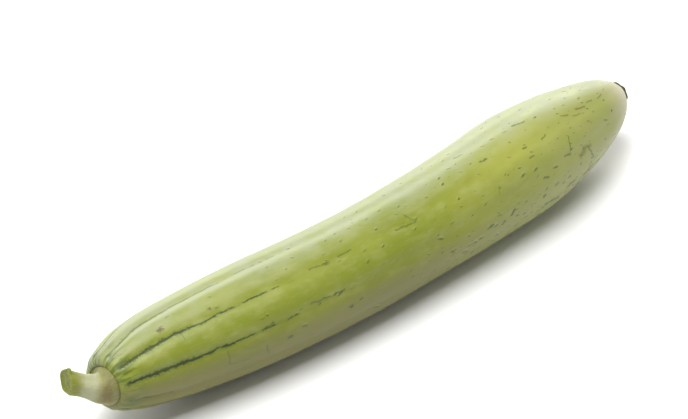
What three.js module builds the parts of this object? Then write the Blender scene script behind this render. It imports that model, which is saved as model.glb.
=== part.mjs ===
// A smooth sponge gourd, as picked: one long fruit with the stub of its stem at one end
// and the dried blossom scar at the other. It lies on its belly on a level surface.
// Millimetres, +X towards the blossom end, +Z up.

import * as THREE from 'three';

// Fruit: the middle line runs from the stem end to the blossom end, bowed to one side and
// lifted a little at both ends, where the belly leaves the surface.
const FRUIT_LENGTH = 350;
const HALF_LENGTH = FRUIT_LENGTH / 2;
const MIDDLE_LINE = [
  [-HALF_LENGTH, 0.4, 30.4],
  [-144, 3.3, 26.7],
  [-95, -2, 25.4],
  [-35, -8, 25],
  [30, -9.5, 25.6],
  [90, -7.5, 26.6],
  [140, -5.2, 27.3],
  [HALF_LENGTH, -1, 27.4],
];

// Fruit outline: distance from the stem end and radius, from the rim of the hollow that
// holds the stem to the rim of the small flat that holds the blossom scar.
const STEM_SEAT_DEPTH = 5;
const STEM_SEAT_RADIUS = 9.2;
const SCAR_SEAT_RADIUS = 6.5;
const SCAR_SEAT_AT = FRUIT_LENGTH - 2.4;
const FRUIT_OUTLINE = [
  [STEM_SEAT_DEPTH, STEM_SEAT_RADIUS],
  [4, 10.8],
  [5.8, 13],
  [12, 16.1],
  [26, 20.4],
  [50, 23.6],
  [85, 25.8],
  [130, 26],
  [180, 26.2],
  [230, 27.2],
  [264, 28],
  [290, 25.7],
  [312, 21.5],
  [330, 16.6],
  [341, 11.6],
  [SCAR_SEAT_AT, SCAR_SEAT_RADIUS],
];

// Ten shallow furrows run from end to end, unevenly spaced as they grew. Their places are
// in degrees round the fruit, from the bowed side and over the top. They are deepest on the
// shoulder by the stem.
const FURROW_PLACES = [24.5, 60, 98, 134, 170, 208, 248, 286, 317, 346];
const FURROW_SPREAD = THREE.MathUtils.degToRad(5.6);
const FURROW_DEPTH_AT_STEM = 1.2;
const FURROW_DEPTH_AT_BLOSSOM = 0.35;
const FURROW_FADE_LENGTH = 110;
const FURROW_START = 14;
const FURROW_END = 40;

// Stem: a stout curved stub, five-ribbed, with a collar where it joins the fruit and a
// flared end that was cut at a slant. Its line is given from the seat: outwards, towards
// +Y, and up. The slant is how far the cut leans for each millimetre off the line.
const JOIN_GAP = 0.3;
const STEM_LINE = [
  [0, 0, 0],
  [2, 0, 0],
  [5, 1.1, 0.2],
  [8.5, 3.9, 1.4],
  [12.5, 7.2, 3.2],
  [16.4, 9.6, 5.3],
];
const STEM_CUT_AT = 20;
const STEM_OUTLINE = [
  [0, 7.9],
  [0.7, 8.4],
  [2, 8],
  [4, 6.8],
  [7, 5.8],
  [10.5, 5.3],
  [14.5, 5.2],
  [17.5, 5.4],
  [19.2, 5.5],
  [STEM_CUT_AT, 5],
];
const STEM_SLANT = 0.4;
const STEM_SLANT_TURN = THREE.MathUtils.degToRad(50);
const STEM_SLANT_FROM = 11;
const STEM_DISH_DEPTH = 0.8;
const STEM_RIB_COUNT = 5;
const STEM_RIB_HEIGHT = 0.25;
const STEM_RIBS_FULL_AT = 6;

// Blossom scar: a low dark button with a puckered rim and a sunken middle.
const SCAR_OUTLINE = [
  [0, 5.7],
  [0.8, 6.1],
  [2, 5.8],
  [2.9, 4.6],
  [3, 3.2],
];
const SCAR_MIDDLE_HEIGHT = 2;
const SCAR_LENGTH = 3.1;
const SCAR_PUCKER_COUNT = 7;
const SCAR_PUCKER_DEPTH = 0.3;
const SCAR_PUCKERS_FULL_AT = 1.5;

const UP = new THREE.Vector3(0, 0, 1);

function pointList(rows) {
  return rows.map(([x, y, z = 0]) => new THREE.Vector3(x, y, z));
}

function smoothCurve(rows) {
  return new THREE.CatmullRomCurve3(pointList(rows), false, 'catmullrom', 0.5);
}

// The frame of a line at a distance along it: where it is, which way it runs, and two
// directions square to it, one level and one upwards.
function frameAt(line, distance) {
  const share = THREE.MathUtils.clamp(distance / line.getLength(), 0, 1);
  const along = line.getTangentAt(share);
  const level = new THREE.Vector3().crossVectors(UP, along).normalize();
  const upwards = new THREE.Vector3().crossVectors(along, level);
  return { centre: line.getPointAt(share), along, level, upwards };
}

// A closed skin swept along a line. The outline gives distance and radius from one flat
// end to the other; relief lifts or lowers the skin at each distance and angle, and lean
// moves it along the line, by a share of the radius.
function sweptSolid({ line, outline, rings, sides, relief, lean = () => 0, endInset = 0 }) {
  const curve = smoothCurve(outline);
  const positions = [];
  const triangles = [];
  const addPoint = (point) => positions.push(point.x, point.y, point.z) / 3 - 1;

  const ringPoint = (frame, radius, angle) => frame.centre.clone()
    .addScaledVector(frame.level, -radius * Math.cos(angle))
    .addScaledVector(frame.upwards, radius * Math.sin(angle));

  const first = frameAt(line, outline[0][0]);
  const firstPole = addPoint(first.centre);
  for (let ring = 0; ring <= rings; ring += 1) {
    const { x: distance, y: radius } = curve.getPoint(ring / rings);
    const frame = frameAt(line, distance);
    for (let side = 0; side < sides; side += 1) {
      const angle = (side / sides) * 2 * Math.PI;
      const point = ringPoint(frame, radius + relief(distance, angle), angle);
      addPoint(point.addScaledVector(frame.along, radius * lean(distance, angle)));
    }
  }
  const last = frameAt(line, outline.at(-1)[0] - endInset);
  const lastPole = addPoint(last.centre);

  const at = (ring, side) => firstPole + 1 + ring * sides + (side % sides);
  for (let side = 0; side < sides; side += 1) {
    triangles.push(firstPole, at(0, side), at(0, side + 1));
    triangles.push(lastPole, at(rings, side + 1), at(rings, side));
    for (let ring = 0; ring < rings; ring += 1) {
      triangles.push(at(ring, side), at(ring + 1, side), at(ring + 1, side + 1));
      triangles.push(at(ring, side), at(ring + 1, side + 1), at(ring, side + 1));
    }
  }

  const geometry = new THREE.BufferGeometry();
  geometry.setAttribute('position', new THREE.Float32BufferAttribute(positions, 3));
  geometry.setIndex(triangles);
  return geometry;
}

// How deep the furrows are at a distance from the stem end: nothing at the two seats,
// deepest on the shoulder, then fading along the belly.
function furrowDepth(distance) {
  const opening = THREE.MathUtils.smoothstep(distance, STEM_SEAT_DEPTH, FURROW_START);
  const closing = THREE.MathUtils.smoothstep(SCAR_SEAT_AT - distance, 0, FURROW_END);
  const fade = Math.exp(-Math.max(distance - FURROW_START, 0) / FURROW_FADE_LENGTH);
  const depth = THREE.MathUtils.lerp(FURROW_DEPTH_AT_BLOSSOM, FURROW_DEPTH_AT_STEM, fade);
  return depth * opening * closing;
}

// How far inside a furrow a place round the fruit is: 1 at the bottom of one, 0 on a ridge.
function insideFurrows(angle) {
  return FURROW_PLACES.reduce((sum, place) => {
    const apart = Math.cos(angle - THREE.MathUtils.degToRad(place)) - 1;
    return sum + Math.exp(apart / FURROW_SPREAD ** 2);
  }, 0);
}

function fruitRelief(distance, angle) {
  return -furrowDepth(distance) * insideFurrows(angle);
}

// What the surface meets of the belly is flat: the skin goes no lower than the surface.
function restOnSurface(geometry) {
  const position = geometry.getAttribute('position');
  for (let index = 0; index < position.count; index += 1) {
    position.setZ(index, Math.max(position.getZ(index), 0));
  }
  return geometry;
}

const middleLine = smoothCurve(MIDDLE_LINE);

function fruitGeometry() {
  return restOnSurface(sweptSolid({
    line: middleLine,
    outline: FRUIT_OUTLINE,
    rings: 64,
    sides: 60,
    relief: fruitRelief,
  }));
}

// The stem starts square on its seat, then leaves the fruit's own direction.
function stemGeometry() {
  const seat = frameAt(middleLine, STEM_SEAT_DEPTH);
  const outwards = seat.along.clone().negate();
  const line = new THREE.CatmullRomCurve3(STEM_LINE.map(([out, side, rise]) => (
    seat.centre.clone()
      .addScaledVector(outwards, JOIN_GAP + out)
      .addScaledVector(seat.level, side)
      .addScaledVector(UP, rise)
  )), false, 'catmullrom', 0.5);
  return sweptSolid({
    line,
    outline: STEM_OUTLINE,
    rings: 27,
    sides: 30,
    relief: (distance, angle) => STEM_RIB_HEIGHT * Math.cos(STEM_RIB_COUNT * angle)
      * THREE.MathUtils.smoothstep(distance, 0, STEM_RIBS_FULL_AT),
    lean: (distance, angle) => STEM_SLANT * Math.cos(angle - STEM_SLANT_TURN)
      * THREE.MathUtils.smoothstep(distance, STEM_SLANT_FROM, STEM_CUT_AT),
    endInset: STEM_DISH_DEPTH,
  });
}

function scarGeometry() {
  const seat = frameAt(middleLine, SCAR_SEAT_AT);
  const line = new THREE.LineCurve3(
    seat.centre.clone().addScaledVector(seat.along, JOIN_GAP),
    seat.centre.clone().addScaledVector(seat.along, JOIN_GAP + SCAR_LENGTH),
  );
  return sweptSolid({
    line,
    outline: SCAR_OUTLINE,
    rings: 8,
    sides: 28,
    relief: (distance, angle) => SCAR_PUCKER_DEPTH * Math.cos(SCAR_PUCKER_COUNT * angle)
      * THREE.MathUtils.smoothstep(distance, 0, SCAR_PUCKERS_FULL_AT),
    endInset: SCAR_OUTLINE.at(-1)[0] - SCAR_MIDDLE_HEIGHT,
  });
}

function namedMesh(name, geometry, color, roughness) {
  geometry.computeVertexNormals();
  const material = new THREE.MeshStandardMaterial({ color, roughness, metalness: 0 });
  const mesh = new THREE.Mesh(geometry, material);
  mesh.name = name;
  return mesh;
}

const gourd = new THREE.Group();
gourd.add(namedMesh('fruit', fruitGeometry(), 0x9aa94f, 0.5));
gourd.add(namedMesh('stem', stemGeometry(), 0x9ea268, 0.7));
gourd.add(namedMesh('blossom_scar', scarGeometry(), 0x4c5a2c, 0.8));

// The origin is on the surface, under the middle of the whole gourd.
const bounds = new THREE.Box3().setFromObject(gourd);
const middle = bounds.getCenter(new THREE.Vector3());
gourd.position.set(-middle.x, -middle.y, -bounds.min.z);
gourd.updateMatrixWorld(true);

export default gourd;
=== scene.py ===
"""A smooth sponge gourd as picked, lying on its belly on a pale floor.

One long bowed fruit, the curved stub of its stem and the dried scar of its blossom.
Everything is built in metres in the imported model's frame: +X towards the blossom end, +Z up,
and the gourd bows towards -Y. Sizes and places are given in millimetres.
"""

import math

import bpy
from mathutils import Matrix, Vector


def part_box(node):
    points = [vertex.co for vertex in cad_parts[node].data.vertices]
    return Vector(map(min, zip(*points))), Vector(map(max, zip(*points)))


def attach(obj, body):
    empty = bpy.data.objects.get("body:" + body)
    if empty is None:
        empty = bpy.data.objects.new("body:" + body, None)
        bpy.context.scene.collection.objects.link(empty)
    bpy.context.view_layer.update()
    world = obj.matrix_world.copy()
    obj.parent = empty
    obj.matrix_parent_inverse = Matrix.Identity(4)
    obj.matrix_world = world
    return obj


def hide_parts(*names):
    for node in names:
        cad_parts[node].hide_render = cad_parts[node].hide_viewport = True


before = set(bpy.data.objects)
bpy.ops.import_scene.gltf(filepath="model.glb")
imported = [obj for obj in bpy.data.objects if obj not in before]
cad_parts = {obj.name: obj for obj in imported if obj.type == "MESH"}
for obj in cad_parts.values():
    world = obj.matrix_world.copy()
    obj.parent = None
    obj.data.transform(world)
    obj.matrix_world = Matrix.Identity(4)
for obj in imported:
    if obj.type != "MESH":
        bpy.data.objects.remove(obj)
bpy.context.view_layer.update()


# Fruit
# One grown body, soft inside, under a thin waxy skin. It is round in section and ten shallow
# furrows run from the stem to the blossom end. The skin is swept along the bowed line that
# the gourd grew in, and the furrows, puckers and low swellings are raised from its surface.

BODY = "root"
MM = 0.001

FRUIT_LINE = [
    (-175, 0.4, 30.4),
    (-144, 3.3, 26.7),
    (-95, -2, 25.4),
    (-35, -8, 25),
    (30, -9.5, 25.6),
    (90, -7.5, 26.6),
    (140, -5.2, 27.3),
    (175, -1, 27.4),
]
STEM_SEAT_AT = 5
SCAR_SEAT_AT = 347.6
FRUIT_OUTLINE = [
    (STEM_SEAT_AT, 8.6),
    (4.3, 9.3),
    (4.2, 10.8),
    (5.8, 13),
    (12, 16.1),
    (26, 20.4),
    (50, 23.6),
    (85, 25.8),
    (130, 26),
    (180, 26.2),
    (230, 27.2),
    (264, 28),
    (290, 25.7),
    (312, 21.5),
    (330, 16.6),
    (341, 11.6),
    (SCAR_SEAT_AT, 6.5),
]
CURVE_STEPS = 24
FRUIT_RINGS = 400
FRUIT_SIDES = 240


def smooth_points(points):
    """Points on one smooth curve through the given ones, of two or three numbers each."""
    points = [Vector(point).to_3d() for point in points]
    padded = [2 * points[0] - points[1], *points, 2 * points[-1] - points[-2]]
    smooth = [points[0]]
    for before, start, end, after in zip(padded, padded[1:], padded[2:], padded[3:]):
        for step in range(1, CURVE_STEPS + 1):
            t = step / CURVE_STEPS
            smooth.append(
                start
                + (end - before) * 0.5 * t
                + (2 * before - 5 * start + 4 * end - after) * 0.5 * t ** 2
                + (3 * start - before - 3 * end + after) * 0.5 * t ** 3
            )
    return smooth


def new_object(name, data):
    """An object in the scene that holds the given mesh, curve, light or camera."""
    holder = bpy.data.objects.new(name, data)
    bpy.context.scene.collection.objects.link(holder)
    return holder


def guide_curve(name, points):
    """A curve object through the points, given in millimetres, for a skin to be swept by."""
    curve = bpy.data.curves.new(name, "CURVE")
    curve.dimensions = "3D"
    spline = curve.splines.new("POLY")
    spline.points.add(len(points) - 1)
    for corner, point in zip(spline.points, points):
        corner.co = (*(Vector(point).to_3d() * MM), 1)
    return new_object(name, curve)


def new_group(kind, name, inputs, outputs):
    """A node tree with named inputs, each with its type and usual value, and named outputs."""
    tree = bpy.data.node_groups.new(name, kind)
    for label, (socket_type, usual) in inputs.items():
        socket = tree.interface.new_socket(
            label, in_out="INPUT", socket_type="NodeSocket" + socket_type
        )
        if usual is not None:
            socket.default_value = usual
    for label, socket_type in outputs.items():
        tree.interface.new_socket(label, in_out="OUTPUT", socket_type="NodeSocket" + socket_type)
    given = tree.nodes.new("NodeGroupInput").outputs
    result = tree.nodes.new("NodeGroupOutput").inputs
    return tree, given, result


def feed(tree, socket, value):
    """Gives a socket a fixed value, or joins it to another node's output."""
    if isinstance(value, bpy.types.NodeSocket):
        tree.links.new(value, socket)
    else:
        socket.default_value = value


def add(tree, kind, feeds=None, **settings):
    """A new node with its settings, fed through its named or numbered inputs."""
    node = tree.nodes.new(kind)
    for setting, value in settings.items():
        setattr(node, setting, value)
    for socket, value in (feeds or {}).items():
        feed(tree, node.inputs[socket], value)
    return node


def calc(tree, operation, *values):
    """The output of a maths node."""
    return add(tree, "ShaderNodeMath", dict(enumerate(values)), operation=operation).outputs[0]


def product(tree, *values):
    """The product of several numbers."""
    result = values[0]
    for value in values[1:]:
        result = calc(tree, "MULTIPLY", result, value)
    return result


def total(tree, *values):
    """The sum of several numbers."""
    result = values[0]
    for value in values[1:]:
        result = calc(tree, "ADD", result, value)
    return result


def strongest(tree, *values):
    """The largest of several numbers."""
    result = values[0]
    for value in values[1:]:
        result = calc(tree, "MAXIMUM", result, value)
    return result


def vector_calc(tree, operation, *values):
    """The output of a vector maths node, a number for a length, distance or dot product."""
    node = add(tree, "ShaderNodeVectorMath", operation=operation)
    sockets = [node.inputs[0], node.inputs["Scale"]] if operation == "SCALE" else node.inputs
    for socket, value in zip(sockets, values):
        feed(tree, socket, value)
    return node.outputs["Value" if operation in {"LENGTH", "DISTANCE", "DOT_PRODUCT"} else "Vector"]


def split(tree, vector):
    """A vector's three parts."""
    return add(tree, "ShaderNodeSeparateXYZ", {0: vector}).outputs


def joined(tree, x=0.0, y=0.0, z=0.0):
    """A vector of three parts."""
    return add(tree, "ShaderNodeCombineXYZ", {"X": x, "Y": y, "Z": z}).outputs[0]


def ramp(tree, value, start, end, low=0.0, high=1.0, shape="SMOOTHSTEP"):
    """A number that goes from low to high while value goes from start to end."""
    feeds = {"Value": value, "From Min": start, "From Max": end, "To Min": low, "To Max": high}
    return add(tree, "ShaderNodeMapRange", feeds, interpolation_type=shape).outputs["Result"]


def place_group(tree, group, feeds):
    """A node that holds one of the groups, fed through its named inputs."""
    node = tree.nodes.new(tree.bl_idname.replace("Tree", "Group"))
    node.node_tree = group
    for label, value in feeds.items():
        feed(tree, node.inputs[label], value)
    return node.outputs


def grow(name, tree, **inputs):
    """Grows a piece from its node tree and keeps the result as a plain mesh."""
    piece = new_object(name, bpy.data.meshes.new(name))
    growth = piece.modifiers.new("growth", "NODES")
    growth.node_group = tree
    for socket in tree.interface.items_tree:
        label = socket.name.replace(" ", "_").lower()
        if socket.in_out == "INPUT" and label in inputs:
            growth[socket.identifier] = inputs[label]
    depsgraph = bpy.context.evaluated_depsgraph_get()
    grown = piece.evaluated_get(depsgraph)
    mesh = bpy.data.meshes.new_from_object(grown, preserve_all_data_layers=True, depsgraph=depsgraph)
    piece.modifiers.clear()
    piece.data = mesh
    mesh.name = name
    return piece


STRAIGHT_PLACE = "straight_place"
SEAM_GAP = 0.00001
SWEPT_INPUTS = {
    "Line": ("Object", None),
    "Outline": ("Object", None),
    "Rings": ("Int", 100),
    "Sides": ("Int", 60),
}
SKIN_INPUTS = {**SWEPT_INPUTS, "Material": ("Material", None)}


def swept_skin_group():
    """A tube along the line. The outline gives the distance along it, as X, and the radius, as Y."""
    tree, given, result = new_group(
        "GeometryNodeTree",
        "swept skin",
        SWEPT_INPUTS,
        {
            "Skin": "Geometry",
            "Along": "Float",
            "Angle": "Float",
            "Outwards": "Vector",
            "Heading": "Vector",
            "Radius": "Float",
            "Straight Place": "Vector",
        },
    )
    line = add(tree, "GeometryNodeObjectInfo", {"Object": given["Line"]}).outputs["Geometry"]
    outline = add(tree, "GeometryNodeObjectInfo", {"Object": given["Outline"]}).outputs["Geometry"]
    sheet = add(tree, "GeometryNodeMeshGrid", {
        "Vertices X": given["Rings"],
        "Vertices Y": calc(tree, "ADD", given["Sides"], 1),
    })
    on_sheet = split(tree, add(tree, "GeometryNodeInputPosition").outputs[0])
    share = calc(tree, "ADD", on_sheet["X"], 0.5)
    angle = product(tree, calc(tree, "ADD", on_sheet["Y"], 0.5), math.tau)

    on_outline = {"Curves": outline, "Factor": share}
    at_outline = add(tree, "GeometryNodeSampleCurve", on_outline, mode="FACTOR")
    profile = split(tree, at_outline.outputs["Position"])
    along, radius = profile["X"], profile["Y"]
    on_line = add(tree, "GeometryNodeSampleCurve", {"Curves": line, "Length": along}, mode="LENGTH")
    centre, heading = on_line.outputs["Position"], on_line.outputs["Tangent"]
    level = vector_calc(tree, "NORMALIZE", vector_calc(tree, "CROSS_PRODUCT", (0, 0, 1), heading))
    upwards = vector_calc(tree, "CROSS_PRODUCT", heading, level)
    cosine, sine = calc(tree, "COSINE", angle), calc(tree, "SINE", angle)
    outwards = vector_calc(
        tree,
        "SUBTRACT",
        vector_calc(tree, "SCALE", upwards, sine),
        vector_calc(tree, "SCALE", level, cosine),
    )
    straight_place = joined(
        tree,
        along,
        product(tree, radius, cosine, -1.0),
        product(tree, radius, sine),
    )

    place = vector_calc(tree, "ADD", centre, vector_calc(tree, "SCALE", outwards, radius))
    handed_on = {
        "Along": ("FLOAT", along),
        "Angle": ("FLOAT", angle),
        "Outwards": ("VECTOR", outwards),
        "Heading": ("VECTOR", heading),
        "Radius": ("FLOAT", radius),
        "Straight Place": ("VECTOR", straight_place),
    }

    kept = add(tree, "GeometryNodeCaptureAttribute", {"Geometry": sheet.outputs["Mesh"]})
    for label, (socket_type, value) in {**handed_on, "Place": ("VECTOR", place)}.items():
        kept.capture_items.new(socket_type, label)
        feed(tree, kept.inputs[label], value)
    skin = add(tree, "GeometryNodeSetPosition", {
        "Geometry": kept.outputs["Geometry"],
        "Position": kept.outputs["Place"],
    })
    feed(tree, result["Skin"], skin.outputs["Geometry"])
    for label in handed_on:
        feed(tree, result[label], kept.outputs[label])
    return tree


def finish_skin(tree, swept, lift, material, result, lean=0.0, lowest=None):
    """The end of each skin's tree: the lift off the surface, closed seam and poles, and the finish."""
    lifted = vector_calc(tree, "SCALE", swept["Outwards"], lift)
    leant = vector_calc(tree, "SCALE", swept["Heading"], lean)
    skin = add(tree, "GeometryNodeSetPosition", {
        "Geometry": swept["Skin"],
        "Offset": vector_calc(tree, "ADD", lifted, leant),
    }).outputs[0]
    if lowest is not None:
        place = split(tree, add(tree, "GeometryNodeInputPosition").outputs[0])
        rested = joined(tree, place["X"], place["Y"], calc(tree, "MAXIMUM", place["Z"], lowest))
        skin = add(tree, "GeometryNodeSetPosition", {"Geometry": skin, "Position": rested}).outputs[0]
    skin = add(tree, "GeometryNodeStoreNamedAttribute", {
        "Geometry": skin,
        "Name": STRAIGHT_PLACE,
        "Value": swept["Straight Place"],
    }, data_type="FLOAT_VECTOR", domain="POINT").outputs[0]
    skin = add(tree, "GeometryNodeMergeByDistance", {"Geometry": skin, "Distance": SEAM_GAP}).outputs[0]
    skin = add(tree, "GeometryNodeSetShadeSmooth", {"Geometry": skin}).outputs[0]
    skin = add(tree, "GeometryNodeRealizeInstances", {"Geometry": skin}).outputs[0]
    skin = add(tree, "GeometryNodeSetMaterial", {"Geometry": skin, "Material": material}).outputs[0]
    feed(tree, result["Skin"], skin)


def swinging_noise(tree, place, scale, height, detail=3.0):
    """A noise that swings so far to both sides of nothing."""
    feeds = {"Vector": place, "Scale": scale, "Detail": detail}
    wave = add(tree, "ShaderNodeTexNoise", feeds).outputs[0]
    return product(tree, calc(tree, "SUBTRACT", wave, 0.5), height, 2.0)


def bump_group():
    """How far inside a furrow or on a nib a place round a skin is: 1 in its middle, 0 well off it."""
    tree, given, result = new_group(
        "GeometryNodeTree",
        "bump round the skin",
        {"Angle": ("Float", 0.0), "Middle": ("Float", 0.0), "Spread": ("Float", 0.1)},
        {"Share": "Float"},
    )
    turned = calc(tree, "SUBTRACT", given["Angle"], given["Middle"])
    apart = calc(tree, "SUBTRACT", calc(tree, "COSINE", turned), 1.0)
    spread = product(tree, given["Spread"], given["Spread"])
    feed(tree, result["Share"], calc(tree, "EXPONENT", calc(tree, "DIVIDE", apart, spread)))
    return tree


swept_skin = swept_skin_group()
bump_round = bump_group()

# Each furrow's place round the gourd in degrees, from the -Y side over the top, how far its
# dark line reaches from the stem in millimetres, the line's half width in degrees, and how
# dark it is.
FURROWS = [
    {"angle": 24.5, "reach": 146, "width": 4.7, "dark": 1.0},
    {"angle": 60, "reach": 114, "width": 5.0, "dark": 0.9},
    {"angle": 98, "reach": 124, "width": 2.6, "dark": 0.55},
    {"angle": 134, "reach": 96, "width": 3.6, "dark": 0.8},
    {"angle": 170, "reach": 128, "width": 4.4, "dark": 0.9},
    {"angle": 208, "reach": 84, "width": 3.6, "dark": 0.7},
    {"angle": 248, "reach": 110, "width": 4.2, "dark": 0.8},
    {"angle": 286, "reach": 98, "width": 3.6, "dark": 0.7},
    {"angle": 317, "reach": 112, "width": 4.2, "dark": 0.8},
    {"angle": 346, "reach": 40, "width": 6.0, "dark": 0.55},
]

# Where each kind of relief sets in, from nothing to full height, and where it fades again,
# as places along the gourd from its stem end.
FURROW_SHOULDER = 14 * MM
FURROWS_RISE = (STEM_SEAT_AT * MM, FURROW_SHOULDER)
FURROWS_FADE = (SCAR_SEAT_AT * MM, (SCAR_SEAT_AT - 40) * MM)
PUCKERS_RISE = (4.4 * MM, 6 * MM)
PUCKERS_FADE = (15 * MM, 7 * MM)
SWELLINGS_RISE = (5 * MM, 24 * MM)
SWELLINGS_FADE = ((SCAR_SEAT_AT - 1) * MM, (SCAR_SEAT_AT - 16) * MM)


def fruit_growth():
    """The fruit's own tree: the swept skin with furrows, puckers round the stem and low swellings."""
    tree, given, result = new_group(
        "GeometryNodeTree",
        "gourd fruit",
        {
            **SKIN_INPUTS,
            "Furrow Depth By Stem": ("Float", 1.2 * MM),
            "Furrow Depth By Blossom": ("Float", 0.35 * MM),
            "Furrow Fade Length": ("Float", 110 * MM),
            "Furrow Spread": ("Float", math.radians(5.6)),
            "Pucker Count": ("Int", 17),
            "Pucker Depth": ("Float", 0.22 * MM),
            "Swelling Height": ("Float", 0.45 * MM),
            "Swelling Size": ("Float", 38 * MM),
            "Dimple Height": ("Float", 0.1 * MM),
            "Dimple Size": ("Float", 7 * MM),
        },
        {"Skin": "Geometry"},
    )
    swept = place_group(tree, swept_skin, {label: given[label] for label in SWEPT_INPUTS})
    along, angle = swept["Along"], swept["Angle"]

    insides = [
        place_group(tree, bump_round, {
            "Angle": angle,
            "Middle": math.radians(each["angle"]),
            "Spread": given["Furrow Spread"],
        })["Share"]
        for each in FURROWS
    ]
    past_shoulder = calc(tree, "MAXIMUM", calc(tree, "SUBTRACT", along, FURROW_SHOULDER), 0.0)
    faded = calc(tree, "DIVIDE", past_shoulder, product(tree, given["Furrow Fade Length"], -1.0))
    by_stem, by_blossom = given["Furrow Depth By Stem"], given["Furrow Depth By Blossom"]
    deepening = calc(tree, "SUBTRACT", by_stem, by_blossom)
    depth = calc(tree, "MULTIPLY_ADD", deepening, calc(tree, "EXPONENT", faded), by_blossom)
    furrows = product(
        tree,
        total(tree, *insides),
        depth,
        ramp(tree, along, *FURROWS_RISE),
        ramp(tree, along, *FURROWS_FADE),
    )

    pucker_wave = calc(tree, "COSINE", product(tree, angle, given["Pucker Count"]))
    by_collar = product(tree, ramp(tree, along, *PUCKERS_RISE), ramp(tree, along, *PUCKERS_FADE))
    puckers = product(tree, pucker_wave, by_collar, given["Pucker Depth"])

    waves = [
        swinging_noise(
            tree,
            swept["Straight Place"],
            calc(tree, "DIVIDE", 1.0, given[kind + " Size"]),
            given[kind + " Height"],
            detail=1.0,
        )
        for kind in ("Swelling", "Dimple")
    ]
    swellings = product(
        tree,
        total(tree, *waves),
        product(tree, ramp(tree, along, *SWELLINGS_RISE), ramp(tree, along, *SWELLINGS_FADE)),
    )

    lift = calc(tree, "SUBTRACT", calc(tree, "SUBTRACT", swellings, puckers), furrows)
    finish_skin(tree, swept, lift, given["Material"], result, lowest=0.0)
    return tree


def blend_colours(tree, share, first, second):
    """Two colours mixed, with the second one's share."""
    return add(tree, "ShaderNodeMix", {0: share, 6: first, 7: second}, data_type="RGBA").outputs[2]


def colour(red, green, blue):
    """A colour given as it looks on a screen, from 0 to 255, as the shader wants it."""
    linear = [
        part / 255 / 12.92 if part / 255 <= 0.04045 else ((part / 255 + 0.055) / 1.055) ** 2.4
        for part in (red, green, blue)
    ]
    return (*linear, 1.0)


def noise(tree, place, size, detail=2.0, stretch=(1, 1, 1), shift=0.0):
    """A noise from 0 to 1 whose blotches are about so many millimetres across."""
    scaled = vector_calc(tree, "MULTIPLY", place, tuple(1 / part for part in stretch))
    moved = vector_calc(tree, "ADD", scaled, (shift, shift, shift))
    feeds = {"Vector": moved, "Scale": 1 / size, "Detail": detail}
    return add(tree, "ShaderNodeTexNoise", feeds).outputs[0]


def grown_place_group():
    """Where a place is on the straightened skin: millimetres along it and degrees round it."""
    tree, given, result = new_group(
        "ShaderNodeTree",
        "grown place",
        {"Girth Radius": ("Float", 25.0)},
        {"Place": "Vector", "Along": "Float", "Degrees": "Float", "Flat Place": "Vector"},
    )
    stored = add(tree, "ShaderNodeAttribute", attribute_type="GEOMETRY", attribute_name=STRAIGHT_PLACE)
    place = vector_calc(tree, "SCALE", stored.outputs["Vector"], 1 / MM)
    parts = split(tree, place)
    turn = calc(tree, "ARCTAN2", parts["Z"], product(tree, parts["Y"], -1.0))
    round_way = product(tree, turn, given["Girth Radius"])
    feed(tree, result["Place"], place)
    feed(tree, result["Along"], parts["X"])
    feed(tree, result["Degrees"], calc(tree, "DEGREES", turn))
    feed(tree, result["Flat Place"], joined(tree, parts["X"], round_way))
    return tree


def degrees_apart(tree, degrees, middle):
    """How many degrees a place round the skin is from a middle angle, the shorter way."""
    turned = calc(tree, "RADIANS", calc(tree, "SUBTRACT", degrees, middle))
    return calc(tree, "DEGREES", calc(tree, "ARCCOSINE", calc(tree, "COSINE", turned)))


def near_angle(tree, degrees, middle, start, end):
    """A share by how near a place round the skin is to a middle angle: 0 from start, 1 from end."""
    return ramp(tree, degrees_apart(tree, degrees, middle), start, end)


LINE_SWAY_DEGREES = 5.0
LINE_SWAY_LENGTH = 15.0


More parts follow.
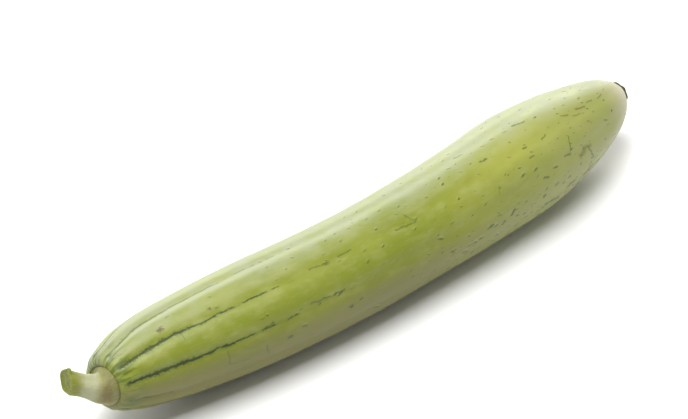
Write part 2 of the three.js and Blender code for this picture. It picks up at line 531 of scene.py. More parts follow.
def dark_line_group():
    """The dark line in a furrow: broad and feathered by the stem, then thin, then dashes."""
    tree, given, result = new_group(
        "ShaderNodeTree",
        "dark furrow line",
        {
            "Place": ("Vector", None),
            "Along": ("Float", 0.0),
            "Degrees": ("Float", 0.0),
            "Line Degrees": ("Float", 0.0),
            "Reach": ("Float", 100.0),
            "Width": ("Float", 3.0),
        },
        {"Line": "Float", "Halo": "Float"},
    )
    own_start = product(tree, given["Line Degrees"], 3.7)
    walked = calc(tree, "DIVIDE", given["Along"], LINE_SWAY_LENGTH)
    wave = add(tree, "ShaderNodeTexNoise", {
        "W": calc(tree, "ADD", own_start, walked),
        "Scale": 1.0,
        "Detail": 4.0,
    }, noise_dimensions="1D").outputs[0]
    sway = calc(tree, "SUBTRACT", wave, 0.5)
    swayed = calc(tree, "MULTIPLY_ADD", sway, LINE_SWAY_DEGREES, given["Line Degrees"])
    apart = degrees_apart(tree, given["Degrees"], swayed)

    share = calc(tree, "DIVIDE", given["Along"], given["Reach"])
    lobes = noise(tree, given["Place"], 4.5, detail=2.0, stretch=(1.4, 1, 1), shift=17.0)
    ragged = noise(tree, given["Place"], 0.9, detail=4.0, stretch=(1.3, 1, 1))
    width = product(
        tree,
        given["Width"],
        ramp(tree, share, 0.1, 0.5, 1.0, 0.36),
        ramp(tree, given["Along"], 12.0, 6.0, 1.0, 1.3),
        ramp(tree, lobes, 0.3, 0.7, 0.65, 1.35, "LINEAR"),
        ramp(tree, ragged, 0.3, 0.7, 0.35, 1.5, "LINEAR"),
    )
    core = ramp(tree, apart, width, product(tree, width, 0.2))
    dashes = noise(tree, given["Place"], 4.0, detail=2.0, stretch=(1.6, 1, 1), shift=31.0)
    gap_level = ramp(tree, share, 0.15, 0.95, 0.2, 0.66, "LINEAR")
    dashed = ramp(tree, calc(tree, "SUBTRACT", dashes, gap_level), -0.05, 0.08)
    starting = ramp(tree, given["Along"], 4.4, 7.5)
    ending = ramp(tree, share, 1.05, 0.85)
    halo_width = calc(tree, "MULTIPLY_ADD", width, 1.8, ramp(tree, share, 0.0, 0.4, 3.2, 1.0))
    halo = ramp(tree, apart, halo_width, 0.0)
    feed(tree, result["Line"], product(tree, core, dashed, starting, ending))
    feed(tree, result["Halo"], product(tree, halo, starting, ramp(tree, share, 0.9, 0.3)))
    return tree


MARK_DRIFT = (1.7, 1.7, 0.0)
MARK_DRIFT_SCALE = 0.35


def mark_group():
    """A scratch, spot or bruise: a stroke of one width between two places on the flattened skin."""
    tree, given, result = new_group(
        "ShaderNodeTree",
        "skin mark",
        {
            "Flat Place": ("Vector", None),
            "From": ("Vector", None),
            "To": ("Vector", None),
            "Width": ("Float", 1.0),
            "Softness": ("Float", 0.5),
        },
        {"Mark": "Float"},
    )
    feeds = {"Vector": given["Flat Place"], "Scale": MARK_DRIFT_SCALE, "Detail": 2.0}
    drift = add(tree, "ShaderNodeTexNoise", feeds).outputs["Color"]
    drifted = vector_calc(tree, "SUBTRACT", drift, (0.5, 0.5, 0.5))
    wandered = vector_calc(tree, "MULTIPLY", drifted, MARK_DRIFT)
    here = vector_calc(tree, "ADD", given["Flat Place"], wandered)
    reach = vector_calc(tree, "SUBTRACT", given["To"], given["From"])
    offset = vector_calc(tree, "SUBTRACT", here, given["From"])
    squared = calc(tree, "MAXIMUM", vector_calc(tree, "DOT_PRODUCT", reach, reach), 0.0001)
    share = calc(tree, "DIVIDE", vector_calc(tree, "DOT_PRODUCT", offset, reach), squared)
    share = add(tree, "ShaderNodeClamp", {"Value": share}).outputs[0]
    apart = vector_calc(tree, "DISTANCE", offset, vector_calc(tree, "SCALE", reach, share))
    ragged = noise(tree, given["Flat Place"], 1.1, detail=3.0)
    half = product(tree, given["Width"], ramp(tree, ragged, 0.3, 0.7, 0.15, 0.65, "LINEAR"))
    inner = product(tree, half, calc(tree, "SUBTRACT", 1.0, given["Softness"]))
    feed(tree, result["Mark"], ramp(tree, apart, calc(tree, "ADD", half, 0.1), inner))
    return tree


TICK_DEPTH = 2.4
TICK_SWING = 0.9


def tick_group():
    """Short ticks where the skin has split and healed: a dark slit, and under it a pale lip that is
    partly healed skin and partly a painted highlight.
    """
    tree, given, result = new_group(
        "ShaderNodeTree",
        "healed ticks",
        {
            "Place": ("Vector", None),
            "Cell Length": ("Float", 9.0),
            "Cell Width": ("Float", 5.0),
            "Half Length": ("Float", 2.0),
            "Half Width": ("Float", 0.5),
            "Share": ("Float", 0.5),
            "Shift": ("Float", 0.0),
        },
        {"Slit": "Float", "Lip": "Float"},
    )
    shift = joined(tree, given["Shift"], given["Shift"], given["Shift"])
    moved = vector_calc(tree, "ADD", given["Place"], shift)
    cell = joined(tree, given["Cell Length"], given["Cell Width"], given["Cell Width"])
    cells = add(tree, "ShaderNodeTexVoronoi", {
        "Vector": vector_calc(tree, "DIVIDE", moved, cell),
        "Scale": 1.0,
        "Randomness": 1.0,
    })
    middle = vector_calc(tree, "MULTIPLY", cells.outputs["Position"], cell)
    offset = vector_calc(tree, "SUBTRACT", moved, middle)
    chance = add(tree, "ShaderNodeSeparateColor", {0: cells.outputs["Color"]}).outputs

    here = split(tree, given["Place"])
    outwards = vector_calc(tree, "NORMALIZE", joined(tree, 0.0, here["Y"], here["Z"]))
    round_way = vector_calc(tree, "CROSS_PRODUCT", (1, 0, 0), outwards)
    lengthwise = split(tree, offset)["X"]
    crosswise = vector_calc(tree, "DOT_PRODUCT", offset, round_way)
    depth = calc(tree, "DIVIDE", vector_calc(tree, "DOT_PRODUCT", offset, outwards), TICK_DEPTH)

    lie = product(tree, calc(tree, "SUBTRACT", chance[1], 0.5), TICK_SWING)
    sine, cosine = calc(tree, "SINE", lie), calc(tree, "COSINE", lie)
    wavy = calc(tree, "SUBTRACT", noise(tree, given["Place"], 1.3, detail=2.0), 0.5)
    across = calc(tree, "ADD", crosswise, product(tree, wavy, given["Half Width"], 1.6))
    run = calc(tree, "ADD", product(tree, lengthwise, cosine), product(tree, across, sine))
    side = calc(tree, "SUBTRACT", product(tree, across, cosine), product(tree, lengthwise, sine))
    size = ramp(tree, chance[2], 0.0, 1.0, 0.4, 1.1, "LINEAR")
    half_length = product(tree, given["Half Length"], size)
    half_width = product(tree, given["Half Width"], size)

    def lens(longer, wider, lower):
        """The reach from a lens shape's middle, 1 at its edge."""
        beside = calc(tree, "MULTIPLY_ADD", half_width, lower, side)
        return vector_calc(tree, "LENGTH", joined(
            tree,
            calc(tree, "DIVIDE", run, product(tree, half_length, longer)),
            calc(tree, "DIVIDE", beside, product(tree, half_width, wider)),
            depth,
        ))

    present = ramp(tree, chance[0], given["Share"], calc(tree, "SUBTRACT", given["Share"], 0.04))
    tone = ramp(tree, calc(tree, "FRACT", product(tree, chance[0], 13.0)), 0.0, 1.0, 0.4, 1.0, "LINEAR")
    slit = product(tree, ramp(tree, lens(1.0, 1.0, 0.0), 1.15, 0.4), present, tone)
    lip = product(tree, ramp(tree, lens(1.1, 1.3, 1.3), 1.1, 0.2), present, tone)
    feed(tree, result["Slit"], slit)
    feed(tree, result["Lip"], product(tree, lip, calc(tree, "SUBTRACT", 1.0, slit)))
    return tree


grown_place = grown_place_group()
dark_line = dark_line_group()
skin_mark = mark_group()
healed_ticks = tick_group()

# Marks on the skin: where each stroke starts and ends, as millimetres from the stem end and
# degrees round the gourd, its width in millimetres, how soft its edge is and how dark it is.
DARK_MARKS = [
    {"from": (41.7, 57), "to": (41.8, 50), "width": 1.0, "soft": 0.6, "dark": 0.5},
    {"from": (60, 18.5), "to": (60, 1.5), "width": 1.0, "soft": 0.7, "dark": 0.55},
    {"from": (60, 1.5), "to": (70.5, -1.5), "width": 0.9, "soft": 0.7, "dark": 0.45},
    {"from": (79, 6), "to": (80, -5), "width": 1.6, "soft": 0.7, "dark": 0.5},
    {"from": (91.6, 4.5), "to": (93, 4.5), "width": 2.2, "soft": 0.5, "dark": 0.8},
    {"from": (126, 5.5), "to": (127.2, 5.5), "width": 2.2, "soft": 0.5, "dark": 0.85},
    {"from": (131.8, 9), "to": (132.8, 9), "width": 1.8, "soft": 0.5, "dark": 0.7},
    {"from": (79, 24.5), "to": (85, 27.5), "width": 1.8, "soft": 0.8, "dark": 0.7},
    {"from": (106, 29), "to": (117, 27.5), "width": 1.1, "soft": 0.7, "dark": 0.7},
    {"from": (119, 27.5), "to": (125, 27.5), "width": 1.6, "soft": 0.7, "dark": 0.8},
    {"from": (113, 62.5), "to": (124, 61), "width": 1.0, "soft": 0.7, "dark": 0.6},
    {"from": (129, 62), "to": (137, 62), "width": 1.1, "soft": 0.7, "dark": 0.65},
    {"from": (171.5, 68), "to": (175, 55), "width": 1.2, "soft": 0.8, "dark": 0.5},
    {"from": (175, 55), "to": (163, 58), "width": 1.3, "soft": 0.6, "dark": 0.6},
    {"from": (257, 88), "to": (261.5, 85.5), "width": 1.2, "soft": 0.6, "dark": 0.8},
    {"from": (226, 74), "to": (230, 72.5), "width": 1.4, "soft": 0.7, "dark": 0.8},
    {"from": (219, 96.5), "to": (223, 97), "width": 1.1, "soft": 0.6, "dark": 0.6},
    {"from": (251, 60), "to": (253.5, 59), "width": 1.5, "soft": 0.7, "dark": 0.7},
    {"from": (251, 48), "to": (253.5, 48), "width": 1.3, "soft": 0.7, "dark": 0.65},
    {"from": (264, 57), "to": (268, 59), "width": 1.1, "soft": 0.5, "dark": 0.6},
    {"from": (280, 45), "to": (276.5, 26.5), "width": 1.3, "soft": 0.7, "dark": 0.55},
    {"from": (276.5, 26.5), "to": (271.8, 28.5), "width": 1.4, "soft": 0.6, "dark": 0.6},
    {"from": (254, 21), "to": (257, 19.5), "width": 1.6, "soft": 0.5, "dark": 0.65},
    {"from": (291, 20), "to": (295, 2), "width": 1.8, "soft": 0.8, "dark": 0.65},
    {"from": (226, 41), "to": (224.5, 34), "width": 1.0, "soft": 0.7, "dark": 0.4},
    {"from": (229, 5), "to": (231, 8), "width": 1.8, "soft": 0.4, "dark": 0.9},
    {"from": (222, 0), "to": (224, 2), "width": 1.8, "soft": 0.5, "dark": 0.8},
    {"from": (214, 5), "to": (216, 6), "width": 1.9, "soft": 0.5, "dark": 0.85},
    {"from": (252, 0), "to": (253, 2), "width": 1.8, "soft": 0.6, "dark": 0.7},
    {"from": (255, -14), "to": (266, -17), "width": 3.4, "soft": 0.8, "dark": 0.7},
    {"from": (274, -10), "to": (279, -11), "width": 5.6, "soft": 0.9, "dark": 0.75},
    {"from": (289, -17), "to": (296, -13), "width": 4.0, "soft": 0.8, "dark": 0.75},
    {"from": (288, 22), "to": (293, 19), "width": 4.4, "soft": 0.9, "dark": 0.5},
]
BROWN_MARKS = [
    {"from": (33, 74), "to": (34, 74), "width": 4.6, "soft": 0.7, "dark": 0.95},
    {"from": (59.5, 69.5), "to": (60, 69.5), "width": 2.2, "soft": 0.8, "dark": 0.75},
    {"from": (284, 17), "to": (287, 18), "width": 6.0, "soft": 1.0, "dark": 0.5},
    {"from": (285, 68), "to": (289, 65), "width": 1.5, "soft": 1.0, "dark": 0.6},
    {"from": (292, 61), "to": (297, 59), "width": 1.5, "soft": 1.0, "dark": 0.5},
    {"from": (297, 66), "to": (303, 64), "width": 2.2, "soft": 1.0, "dark": 0.6},
    {"from": (307, 67), "to": (311, 66), "width": 1.6, "soft": 1.0, "dark": 0.55},
    {"from": (316, 65), "to": (321, 67), "width": 1.6, "soft": 1.0, "dark": 0.6},
]

# The healed ticks come in three sizes, in millimetres. Each row gives the length and width of
# the cells that hold one tick at most, a tick's half length and half width, the share of the
# cells that hold one, where on the gourd they are, and a shift that sets the rows apart.
TICKS = [
    {"cell": (10.0, 6.0), "half": (2.3, 0.8), "share": 0.6, "where": "blossom half", "shift": 0.0},
    {"cell": (6.5, 4.2), "half": (1.3, 0.65), "share": 0.5, "where": "blossom half", "shift": 41.0},
    {"cell": (5.0, 3.6), "half": (2.4, 1.1), "share": 0.75, "where": "low edge", "shift": 83.0},
]

# Where the skin has painted shade on its low side, painted sheen on its upper back and most ticks,
# in degrees round the gourd, the riper patch on its swollen end, and the radius that turns degrees
# into millimetres round it.
PAINTED_SHADE_SIDE = -50.0
PAINTED_SHEEN_SIDE = 118.0
LOW_EDGE = -8.0
LIME_PATCH = {"along": 252, "degrees": 72, "length": 52, "width": 15}
GIRTH_RADIUS = 25.0

FLESH = colour(139, 146, 46)
FLESH_DEEP = colour(126, 136, 38)
FLESH_PALE = colour(156, 160, 90)
FLESH_LIME = colour(164, 166, 48)
FLESH_CREAM = colour(202, 194, 164)
# Painted shade: the darker olive laid on the skin's low side.
PAINTED_SHADE_OLIVE = colour(110, 105, 46)
# Painted sheen: the pale grey-green laid on the skin's upper back.
PAINTED_SHEEN_PALE = colour(142, 148, 114)
FURROW_DARK = colour(42, 54, 20)
FURROW_GREEN = colour(86, 103, 34)
SLIT_DARK = colour(72, 82, 28)
LIP_PALE_AND_HIGHLIGHT = colour(172, 176, 116)
BRUISE_BROWN = colour(84, 70, 22)


def flat_spot(along, degrees, girth_radius):
    """A place on a flattened skin, from millimetres along and degrees round."""
    return (along, math.radians(degrees) * girth_radius, 0.0)


def patch(tree, flat_place, along, degrees, length, width):
    """A soft patch of the skin, 1 in its middle and 0 past its length and width."""
    offset = vector_calc(tree, "SUBTRACT", flat_place, flat_spot(along, degrees, GIRTH_RADIUS))
    shrunk = vector_calc(tree, "DIVIDE", offset, (length, width, 1.0))
    return ramp(tree, vector_calc(tree, "LENGTH", shrunk), 1.0, 0.2)


def stroke(tree, flat_place, mark, girth_radius):
    """How strongly one mark colours a flattened skin."""
    drawn = place_group(tree, skin_mark, {
        "Flat Place": flat_place,
        "From": flat_spot(*mark["from"], girth_radius),
        "To": flat_spot(*mark["to"], girth_radius),
        "Width": mark["width"],
        "Softness": mark["soft"],
    })["Mark"]
    return product(tree, drawn, mark["dark"])


def principled(name, settings):
    """A new material, its node tree and its one surface shader, set to the values given."""
    material = bpy.data.materials.new(name)
    material.use_nodes = True
    shader = material.node_tree.nodes["Principled BSDF"]
    for socket, value in settings.items():
        shader.inputs[socket].default_value = value
    return material, material.node_tree, shader


def gourd_skin():
    """Waxy green skin: mottled flesh colour with painted shade on its low side and painted sheen on its
    upper back, dark furrow lines, healed ticks with partly painted highlights, scratches and bruises.
    """
    material, tree, shader = principled("gourd skin", {
        "Specular IOR Level": 0.5,
        "Sheen Weight": 0.1,
        "Sheen Roughness": 0.4,
        "Subsurface Weight": 0.1,
        "Subsurface Radius": (0.6, 1.0, 0.25),
        "Subsurface Scale": 0.003,
    })
    spot = place_group(tree, grown_place, {"Girth Radius": GIRTH_RADIUS})
    place, along, degrees, flat_place = (
        spot[label] for label in ("Place", "Along", "Degrees", "Flat Place")
    )

    broad = noise(tree, place, 34, detail=3.0, stretch=(1.6, 1, 1))
    mottle = noise(tree, place, 6, detail=4.0, stretch=(2.0, 1, 1), shift=7.0)
    grain = noise(tree, place, 1.5, detail=3.0, stretch=(3.5, 1, 1), shift=3.0)
    look = blend_colours(tree, ramp(tree, broad, 0.36, 0.64), FLESH, FLESH_DEEP)
    look = blend_colours(tree, ramp(tree, mottle, 0.45, 0.75, 0.0, 0.5), look, FLESH_PALE)
    look = blend_colours(tree, ramp(tree, mottle, 0.48, 0.25, 0.0, 0.5), look, FLESH_DEEP)
    look = blend_colours(tree, ramp(tree, grain, 0.5, 0.72, 0.0, 0.25), look, FLESH_PALE)
    # Painted shade: the low side of the skin is coloured a darker olive, fading off towards the blossom
    # end.
    painted_shade = near_angle(tree, degrees, PAINTED_SHADE_SIDE, 88.0, 40.0)
    painted_shade_reach = ramp(tree, along, 250, 140, 0.3, 0.85)
    look = blend_colours(tree, product(tree, painted_shade, painted_shade_reach), look, PAINTED_SHADE_OLIVE)

    ripe_patch = patch(tree, flat_place, **LIME_PATCH)
    lime = product(tree, ripe_patch, ramp(tree, mottle, 0.3, 0.6, 0.4, 0.9))
    look = blend_colours(tree, lime, look, FLESH_LIME)
    ripe = ramp(tree, calc(tree, "MULTIPLY_ADD", broad, 40.0, along), 190, 330, 0.0, 0.75)
    look = blend_colours(tree, ripe, look, FLESH_PALE)
    tip = ramp(tree, calc(tree, "MULTIPLY_ADD", broad, 16.0, along), 322, 358, 0.0, 0.95)
    look = blend_colours(tree, tip, look, FLESH_CREAM)
    # Painted sheen: a pale grey-green veil on the upper back stands in for the reflection of the light
    # behind the gourd.
    sheen_side = near_angle(tree, degrees, PAINTED_SHEEN_SIDE, 58.0, 20.0)
    painted_sheen = product(tree, sheen_side, ramp(tree, mottle, 0.35, 0.6, 0.4, 0.8))
    look = blend_colours(tree, painted_sheen, look, PAINTED_SHEEN_PALE)

    lines, halos = [], []
    for furrow in FURROWS:
        line = place_group(tree, dark_line, {
            "Place": place,
            "Along": along,
            "Degrees": degrees,
            "Line Degrees": float(furrow["angle"]),
            "Reach": float(furrow["reach"]),
            "Width": furrow["width"],
        })
        lines.append(product(tree, line["Line"], furrow["dark"]))
        halos.append(product(tree, line["Halo"], furrow["dark"]))
    line_mask, halo_mask = strongest(tree, *lines), strongest(tree, *halos)
    streaks = noise(tree, flat_place, 2.2, detail=3.0, stretch=(2.6, 1, 1), shift=23.0)
    smears = product(tree, ramp(tree, streaks, 0.45, 0.6), ramp(tree, along, 17.0, 7.0), 0.85)
    greened = strongest(tree, product(tree, halo_mask, 0.55), smears)
    look = blend_colours(tree, greened, look, FURROW_GREEN)
    line_colour = blend_colours(tree, ramp(tree, mottle, 0.5, 0.7), FURROW_DARK, FURROW_GREEN)
    look = blend_colours(tree, product(tree, line_mask, 0.92), look, line_colour)

    by_low_edge = near_angle(tree, degrees, LOW_EDGE, 24.0, 8.0)
    ticked = {
        "blossom half": ramp(tree, along, 60, 190, 0.1, 1.0),
        "low edge": product(tree, by_low_edge, ramp(tree, along, 165, 200)),
    }
    ticks = [
        place_group(tree, healed_ticks, {
            "Place": place,
            "Cell Length": row["cell"][0],
            "Cell Width": row["cell"][1],
            "Half Length": row["half"][0],
            "Half Width": row["half"][1],
            "Share": product(tree, ticked[row["where"]], row["share"]),
            "Shift": row["shift"],
        })
        for row in TICKS
    ]
    slits = strongest(tree, *(each["Slit"] for each in ticks))
    lips_and_highlights = strongest(tree, *(each["Lip"] for each in ticks))
    # The pale lip beside each slit is partly healed skin and partly a painted highlight on the slit's
    # lit side.
    look = blend_colours(tree, product(tree, lips_and_highlights, 0.3), look, LIP_PALE_AND_HIGHLIGHT)
    look = blend_colours(tree, product(tree, slits, 0.9), look, SLIT_DARK)

    for marks, tint in ((DARK_MARKS, SLIT_DARK), (BROWN_MARKS, BRUISE_BROWN)):
        strokes = [stroke(tree, flat_place, mark, GIRTH_RADIUS) for mark in marks]
        look = blend_colours(tree, strongest(tree, *strokes), look, tint)

    feed(tree, shader.inputs["Base Color"], look)
    waxy = ramp(tree, mottle, 0.3, 0.7, 0.4, 0.5)
    feed(tree, shader.inputs["Roughness"], calc(tree, "MULTIPLY_ADD", line_mask, 0.3, waxy))

    hollows = calc(tree, "MAXIMUM", product(tree, line_mask, 0.3), product(tree, slits, 0.3))
    height = calc(tree, "SUBTRACT", product(tree, lips_and_highlights, 0.2), hollows)
    height = calc(tree, "MULTIPLY_ADD", grain, 0.25, height)
    bump = add(tree, "ShaderNodeBump", {"Strength": 0.6, "Distance": 0.0002, "Height": height})
    feed(tree, shader.inputs["Normal"], bump.outputs[0])
    return material


fruit_points = smooth_points(FRUIT_LINE)
fruit_line = guide_curve("fruit_line", fruit_points)
fruit_outline = guide_curve(
    "fruit_outline",
    [(STEM_SEAT_AT, 0), *smooth_points(FRUIT_OUTLINE), (SCAR_SEAT_AT, 0)],
)
fruit = grow(
    "fruit_skin",
    fruit_growth(),
    line=fruit_line,
    outline=fruit_outline,
    rings=FRUIT_RINGS,
    sides=FRUIT_SIDES,
    material=gourd_skin(),
)


def box_middle(low, high):
    """The middle of a box, on the floor."""
    return Vector(((low[0] + high[0]) / 2, (low[1] + high[1]) / 2, 0))


def own_box(piece):
    """The lowest and highest corners of a piece's mesh."""
    places = [corner.co for corner in piece.data.vertices]
    return [[side(place[axis] for place in places) for axis in range(3)] for side in (min, max)]


# The gourd's line is drawn about its own middle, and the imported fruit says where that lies.
gourd_place = box_middle(*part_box("fruit")) - box_middle(*own_box(fruit))
fruit.data.transform(Matrix.Translation(gourd_place))
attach(fruit, BODY)
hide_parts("fruit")


# Stem
# The stub of the stalk: woody and five-ribbed, bent to one side. It widens like a trumpet
# into a pale corky ring where it joins the fruit, and its flared end was cut at a slant and
# has begun to dry. Its skin is swept along its own bent line, from the seat to the cut.

STEM_SUNK = 0.4
STEM_LINE = [
    (0, 0, 0),
    (2, 0, 0),
    (5, 1.1, 0.2),
    (8.5, 3.9, 1.4),
    (12.5, 7.2, 3.2),
    (16.4, 9.6, 5.3),
]
STEM_CUT_AT = 20
STEM_OUTLINE = [
    (0, 8.8),
    (1.1, 9.6),
    (1.9, 9.2),
    (2.8, 8.6),
    (3.8, 7.9),
    (5.2, 7),
    (7.2, 6.1),
    (10.5, 5.35),
    (14.5, 5.2),
    (17.5, 5.4),
    (19.4, 5.5),
    (STEM_CUT_AT, 5.1),
]
STEM_CUT_OUTLINE = [
    (STEM_CUT_AT - 0.1, 4.6),
    (STEM_CUT_AT - 0.7, 3.8),
    (STEM_CUT_AT - 0.9, 2.4),
    (STEM_CUT_AT - 0.6, 0),
]
STEM_RINGS = 190
STEM_SIDES = 160

# Angles round the stem start on its +Y side and go over the top.
STEM_SLANT = 0.4
STEM_SLANT_TURN = math.radians(50)
NIB_TURN = math.radians(86)

# Where the stem's ribs, slant, ragged edge and nib set in, along it, and how far out the nib is.
RIBS_RISE = (0.5 * MM, 6 * MM)
SLANT_RISE = (11 * MM, (STEM_CUT_AT - 1) * MM)
RAGS_RISE = ((STEM_CUT_AT - 4) * MM, (STEM_CUT_AT - 1) * MM)
NIB_RISE = ((STEM_CUT_AT - 2.2) * MM, (STEM_CUT_AT - 0.9) * MM)
NIB_RADIUS_RISE = (4.2 * MM, 5 * MM)
FIBRE_STRETCH = (0.25, 1, 1)
FIBRE_SCALE = 0.9 / MM
RAG_SCALE = 0.35 / MM


def frame_at(points, distance):
    """Place, heading and level side of a line so many millimetres along it."""
    walked = 0
    for start, end in zip(points, points[1:]):
        step = (end - start).length
        if walked + step >= distance:
            break
        walked += step
    heading = (end - start).normalized()
    level = Vector((0, 0, 1)).cross(heading).normalized()
    return start + heading * (distance - walked), heading, level


def stem_growth():
    """The stem's own tree: the swept skin with ribs, fine fibres, a ragged cut and a frayed nib."""
    tree, given, result = new_group(
        "GeometryNodeTree",
        "gourd stem",
        {
            **SKIN_INPUTS,
            "Rib Count": ("Int", 5),
            "Rib Height": ("Float", 0.25 * MM),
            "Fibre Height": ("Float", 0.12 * MM),
            "Ragged Height": ("Float", 0.35 * MM),
            "Nib Height": ("Float", 1.7 * MM),
            "Nib Spread": ("Float", 0.16),
            "Cut Slant": ("Float", STEM_SLANT),
            "Cut Turn": ("Float", STEM_SLANT_TURN),
        },
        {"Skin": "Geometry"},
    )
    swept = place_group(tree, swept_skin, {label: given[label] for label in SWEPT_INPUTS})
    along, angle, place = swept["Along"], swept["Angle"], swept["Straight Place"]
    rib_wave = calc(tree, "COSINE", product(tree, angle, given["Rib Count"]))
    ribs = product(tree, rib_wave, given["Rib Height"], ramp(tree, along, *RIBS_RISE))
    stretched = vector_calc(tree, "MULTIPLY", place, FIBRE_STRETCH)
    fibres = swinging_noise(tree, stretched, FIBRE_SCALE, given["Fibre Height"])
    rag = swinging_noise(tree, place, RAG_SCALE, given["Ragged Height"], detail=2.0)
    rags = product(tree, rag, ramp(tree, along, *RAGS_RISE))
    on_rim = product(
        tree,
        ramp(tree, along, *NIB_RISE),
        ramp(tree, swept["Radius"], *NIB_RADIUS_RISE),
    )
    nib = place_group(tree, bump_round, {
        "Angle": angle,
        "Middle": NIB_TURN,
        "Spread": given["Nib Spread"],
    })["Share"]
    lift = total(tree, ribs, fibres, rags, product(tree, nib, on_rim, given["Nib Height"]))

    lean_wave = calc(tree, "COSINE", calc(tree, "SUBTRACT", angle, given["Cut Turn"]))
    towards_cut = ramp(tree, along, *SLANT_RISE)
    lean = product(tree, swept["Radius"], given["Cut Slant"], towards_cut, lean_wave)
    finish_skin(tree, swept, lift, given["Material"], result, lean=lean)
    return tree


STEM_TAN = colour(124, 121, 70)
STEM_BROWN = colour(112, 98, 58)
STEM_PALE = colour(166, 168, 136)
STEM_GREEN = colour(140, 140, 84)
STEM_OLIVE = colour(124, 130, 42)
STEM_RUST = colour(100, 70, 40)
CUT_OLIVE = colour(112, 118, 34)
CUT_DRY = colour(136, 134, 60)
STEM_GIRTH_RADIUS = 7.0
BROWN_SIDE = 168.0
RUST_MARK = {"from": (5.5, -132), "to": (15.0, -132), "width": 2.4, "soft": 0.9, "dark": 0.7}


def stem_skin():
    """Woody stem: tan ring, pale green-grey neck, olive flare and a dull fibrous cut."""
    material, tree, shader = principled("gourd stem", {
        "Specular IOR Level": 0.4,
        "Sheen Weight": 0.1,
        "Subsurface Weight": 0.1,
        "Subsurface Radius": (0.8, 1.0, 0.3),
        "Subsurface Scale": 0.002,
    })
    spot = place_group(tree, grown_place, {"Girth Radius": STEM_GIRTH_RADIUS})
    place, along, degrees, flat_place = (
        spot[label] for label in ("Place", "Along", "Degrees", "Flat Place")
    )
    fibres = noise(tree, place, 0.7, detail=4.0, stretch=(7, 1, 1))
    blotches = noise(tree, place, 2.6, detail=3.0, shift=5.0)
    wandering = calc(tree, "MULTIPLY_ADD", calc(tree, "SUBTRACT", blotches, 0.5), 3.0, along)
    look = blend_colours(tree, ramp(tree, wandering, 2.2, 4.0), STEM_TAN, STEM_GREEN)
    base = product(
        tree,
        ramp(tree, wandering, 1.8, 3.0),
        ramp(tree, wandering, 7.5, 4.0),
        near_angle(tree, degrees, BROWN_SIDE, 56.0, 20.0),
    )
    look = blend_colours(tree, product(tree, base, 0.85), look, STEM_BROWN)
    neck = product(tree, ramp(tree, wandering, 4.0, 8.0), ramp(tree, wandering, 15.0, 11.0), 0.8)
    look = blend_colours(tree, neck, look, STEM_PALE)
    look = blend_colours(tree, ramp(tree, wandering, 13.5, 17.5), look, STEM_OLIVE)
    look = blend_colours(tree, ramp(tree, fibres, 0.5, 0.75, 0.0, 0.3), look, STEM_PALE)
    look = blend_colours(tree, ramp(tree, fibres, 0.48, 0.28, 0.0, 0.35), look, STEM_OLIVE)
    rust = stroke(tree, flat_place, RUST_MARK, STEM_GIRTH_RADIUS)
    look = blend_colours(tree, rust, look, STEM_RUST)

    parts = split(tree, place)
    radius = vector_calc(tree, "LENGTH", joined(tree, parts["Y"], parts["Z"]))
    on_cut = product(tree, ramp(tree, radius, 5.3, 4.7), ramp(tree, along, 17.0, 18.6))
    pith = noise(tree, place, 0.9, detail=3.0, shift=11.0)
    cut = blend_colours(tree, ramp(tree, pith, 0.45, 0.75, 0.0, 0.4), CUT_OLIVE, CUT_DRY)
    look = blend_colours(tree, on_cut, look, cut)
    feed(tree, shader.inputs["Base Color"], look)
    feed(tree, shader.inputs["Roughness"], ramp(tree, blotches, 0.3, 0.7, 0.55, 0.75))
    height = calc(tree, "MULTIPLY_ADD", pith, on_cut, fibres)
    bump = add(tree, "ShaderNodeBump", {"Strength": 0.6, "Distance": 0.0003, "Height": height})
    feed(tree, shader.inputs["Normal"], bump.outputs[0])
    return material


seat_place, seat_heading, seat_level = frame_at(fruit_points, STEM_SEAT_AT)
stem_points = smooth_points([
    seat_place - seat_heading * (out - STEM_SUNK) + seat_level * side + Vector((0, 0, rise))
    for out, side, rise in STEM_LINE
])
stem_line = guide_curve("stem_line", stem_points)
stem_outline = guide_curve(
    "stem_outline",
    [(0, 0), *smooth_points(STEM_OUTLINE), *smooth_points(STEM_CUT_OUTLINE)],
)
stem = grow(
    "stem_stub",
    stem_growth(),
    line=stem_line,
    outline=stem_outline,
    rings=STEM_RINGS,
    sides=STEM_SIDES,
    material=stem_skin(),
)
stem.data.transform(Matrix.Translation(gourd_place))
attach(stem, BODY)
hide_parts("stem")


# Blossom scar
# The dried button that the flower left: a low dark crust with a puckered rim and a sunken
# middle, grown onto the small flat at the far end.

SCAR_SUNK = 0.4
SCAR_LENGTH = 3.1
SCAR_OUTLINE = [
    (0, 6),
    (0.9, 6.6),
    (2.2, 6.3),
    (3, 5),
    (3, 3.2),
    (2.3, 1.6),
    (2, 0),
]
SCAR_RINGS = 90
SCAR_SIDES = 140
CRUST_RISE = (0.1 * MM, 1.5 * MM)
CRUST_SCALE = 0.7 / MM


def scar_growth():
    """The scar's own tree: the swept skin with a puckered rim and a rough crust."""
    tree, given, result = new_group(
        "GeometryNodeTree",
        "gourd blossom scar",
        {
            **SKIN_INPUTS,
            "Pucker Count": ("Int", 7),
            "Pucker Height": ("Float", 0.3 * MM),
            "Crust Height": ("Float", 0.3 * MM),
        },
        {"Skin": "Geometry"},
    )
    swept = place_group(tree, swept_skin, {label: given[label] for label in SWEPT_INPUTS})
    pucker_wave = calc(tree, "COSINE", product(tree, swept["Angle"], given["Pucker Count"]))
    puckers = product(tree, pucker_wave, given["Pucker Height"])
    place = swept["Straight Place"]
    crusts = swinging_noise(tree, place, CRUST_SCALE, given["Crust Height"], detail=4.0)
    off_seat = ramp(tree, swept["Along"], *CRUST_RISE)
    lift = product(tree, calc(tree, "ADD", puckers, crusts), off_seat)
    finish_skin(tree, swept, lift, given["Material"], result)
    return tree


CRUST_DARK = colour(46, 54, 26)
CRUST_GREEN = colour(80, 92, 44)
CRUST_BROWN = colour(90, 76, 48)


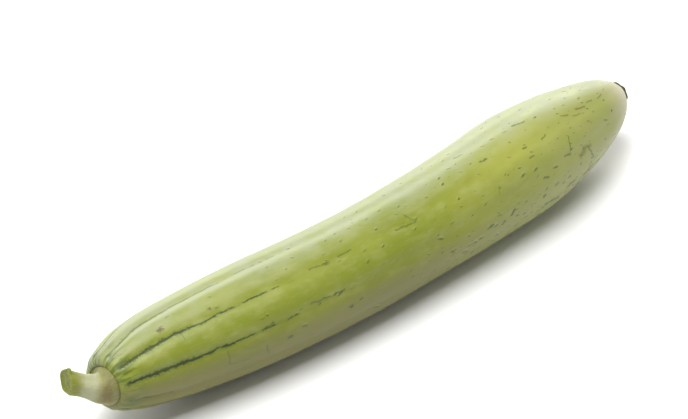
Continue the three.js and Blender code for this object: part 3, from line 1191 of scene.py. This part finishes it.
def scar_crust():
    """Dried crust: very dark green, browner in the middle, matte and rough."""
    material, tree, shader = principled("gourd blossom scar", {})
    spot = place_group(tree, grown_place, {})
    place, along = spot["Place"], spot["Along"]
    flakes = noise(tree, place, 0.8, detail=5.0)
    look = blend_colours(tree, ramp(tree, flakes, 0.4, 0.65), CRUST_DARK, CRUST_GREEN)
    look = blend_colours(tree, ramp(tree, along, 2.6, 1.9, 0.0, 0.3), look, CRUST_BROWN)
    feed(tree, shader.inputs["Base Color"], look)
    feed(tree, shader.inputs["Roughness"], ramp(tree, flakes, 0.3, 0.7, 0.75, 0.9))
    bump = add(tree, "ShaderNodeBump", {"Strength": 0.8, "Distance": 0.0003, "Height": flakes})
    feed(tree, shader.inputs["Normal"], bump.outputs[0])
    return material


scar_place, scar_heading, _ = frame_at(fruit_points, SCAR_SEAT_AT)
scar_line = guide_curve("scar_line", [
    scar_place - scar_heading * SCAR_SUNK,
    scar_place + scar_heading * (SCAR_LENGTH - SCAR_SUNK),
])
scar_outline = guide_curve("scar_outline", [(0, 0), *smooth_points(SCAR_OUTLINE)])
scar = grow(
    "blossom_crust",
    scar_growth(),
    line=scar_line,
    outline=scar_outline,
    rings=SCAR_RINGS,
    sides=SCAR_SIDES,
    material=scar_crust(),
)
scar.data.transform(Matrix.Translation(gourd_place))
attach(scar, BODY)
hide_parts("blossom_scar")

for guide in (fruit_line, fruit_outline, stem_line, stem_outline, scar_line, scar_outline):
    bpy.data.objects.remove(guide)


# Floor, light and camera
# A plain pale floor in soft studio light from above, with a broad low light behind the gourd
# that its waxy skin reflects, and a camera that looks down on it from the stem end.

FLOOR_SIZE = 8.0
FLOOR_WHITE = (0.88, 0.88, 0.88, 1)
WORLD_WHITE = (1, 1, 1, 1)
WORLD_LIGHT = 0.3
VIEW_TARGET = gourd_place + Vector((-3.1, 25, 26.3)) * MM
VIEW_DISTANCE = 1.0
VIEW_AZIMUTH = math.radians(-42.8)
VIEW_ELEVATION = math.radians(38)
VIEW_LENS = 105
SENSOR_WIDTH = 36

floor_mesh = bpy.data.meshes.new("floor")
half = FLOOR_SIZE / 2
floor_corners = [(-half, -half, 0), (half, -half, 0), (half, half, 0), (-half, half, 0)]
floor_mesh.from_pydata(floor_corners, [], [(0, 1, 2, 3)])
floor = new_object("floor", floor_mesh)
floor_paint, _, _ = principled("pale floor", {"Base Color": FLOOR_WHITE, "Roughness": 0.9})
floor_mesh.materials.append(floor_paint)

world = bpy.data.worlds.new("studio")
world.use_nodes = True
sky = world.node_tree.nodes["Background"].inputs
sky["Color"].default_value = WORLD_WHITE
sky["Strength"].default_value = WORLD_LIGHT
bpy.context.scene.world = world


def soft_light(name, place, width, height, power):
    """A large flat studio light at a place, facing the gourd."""
    lamp = bpy.data.lights.new(name, "AREA")
    lamp.shape = "RECTANGLE"
    lamp.size = width
    lamp.size_y = height
    lamp.energy = power
    light = new_object(name, lamp)
    light.location = place
    light.rotation_mode = "QUATERNION"
    light.rotation_quaternion = (-Vector(place)).to_track_quat("-Z", "Y")


soft_light("low_back_light", place=(0.65, 1.04, 0.42), width=1.8, height=0.6, power=16)
soft_light("top_light", place=(-0.3, 0.1, 1.5), width=1.2, height=1.2, power=34)

camera_data = bpy.data.cameras.new("camera")
camera_data.lens = VIEW_LENS
camera_data.sensor_width = SENSOR_WIDTH
camera_data.clip_start = 0.01
camera = new_object("camera", camera_data)
back = Vector((
    math.sin(VIEW_AZIMUTH) * math.cos(VIEW_ELEVATION),
    -math.cos(VIEW_AZIMUTH) * math.cos(VIEW_ELEVATION),
    math.sin(VIEW_ELEVATION),
))
camera.location = VIEW_TARGET + back * VIEW_DISTANCE
camera.rotation_mode = "QUATERNION"
camera.rotation_quaternion = (-back).to_track_quat("-Z", "Y")
bpy.context.scene.camera = camera
bpy.context.scene.view_settings.view_transform = "Standard"
